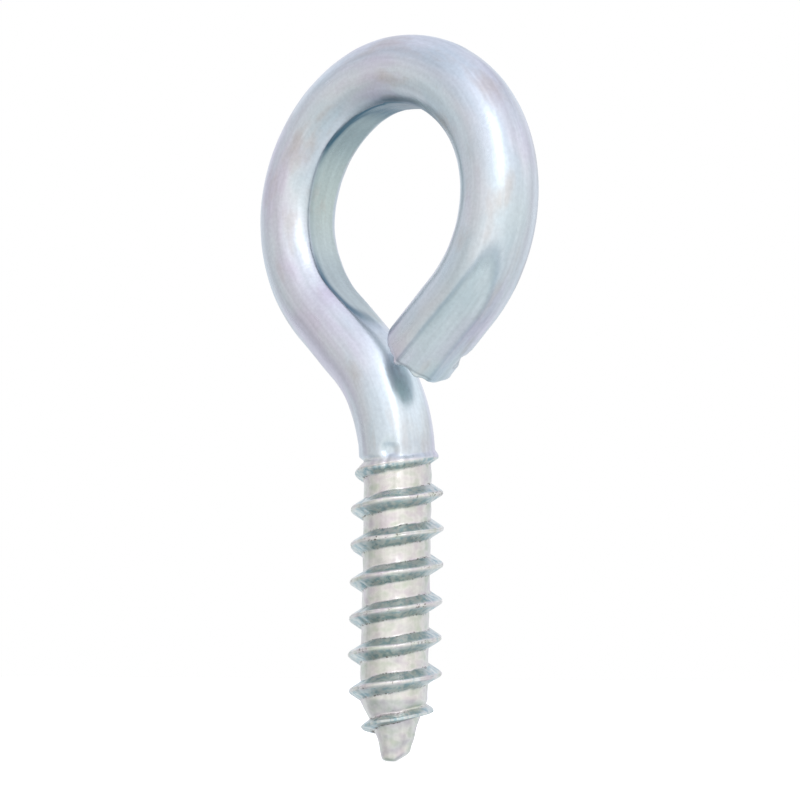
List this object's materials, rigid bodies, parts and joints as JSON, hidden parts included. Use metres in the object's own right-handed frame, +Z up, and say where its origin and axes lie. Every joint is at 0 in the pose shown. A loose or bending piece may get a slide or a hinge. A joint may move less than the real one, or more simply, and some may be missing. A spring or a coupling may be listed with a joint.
{
  "type": "screw eye bolt",
  "caption": "Wire eye bent on a coarse tapering wood-screw shank: screws by hand into timber or a plug, so that a hook, ring, chain or cord can hang from it.",
  "frame": {"origin": "on the shank's axis at the top of the thread, where the surface of the wood lies", "axes": "+Z up the shank through the eye, +Y through the eye and away from the side that the free end leans to, +X towards the free end of the wire"},
  "size_m": [0.0356, 0.0096, 0.0734],
  "materials": {
    "zinc_plated_steel": "bright zinc electroplate with a clear-blue chromate over cold-formed steel wire, semi-gloss"
  },
  "bodies": {
    "root": {"screw_eye": "zinc_plated_steel"}
  },
  "joints": []
}
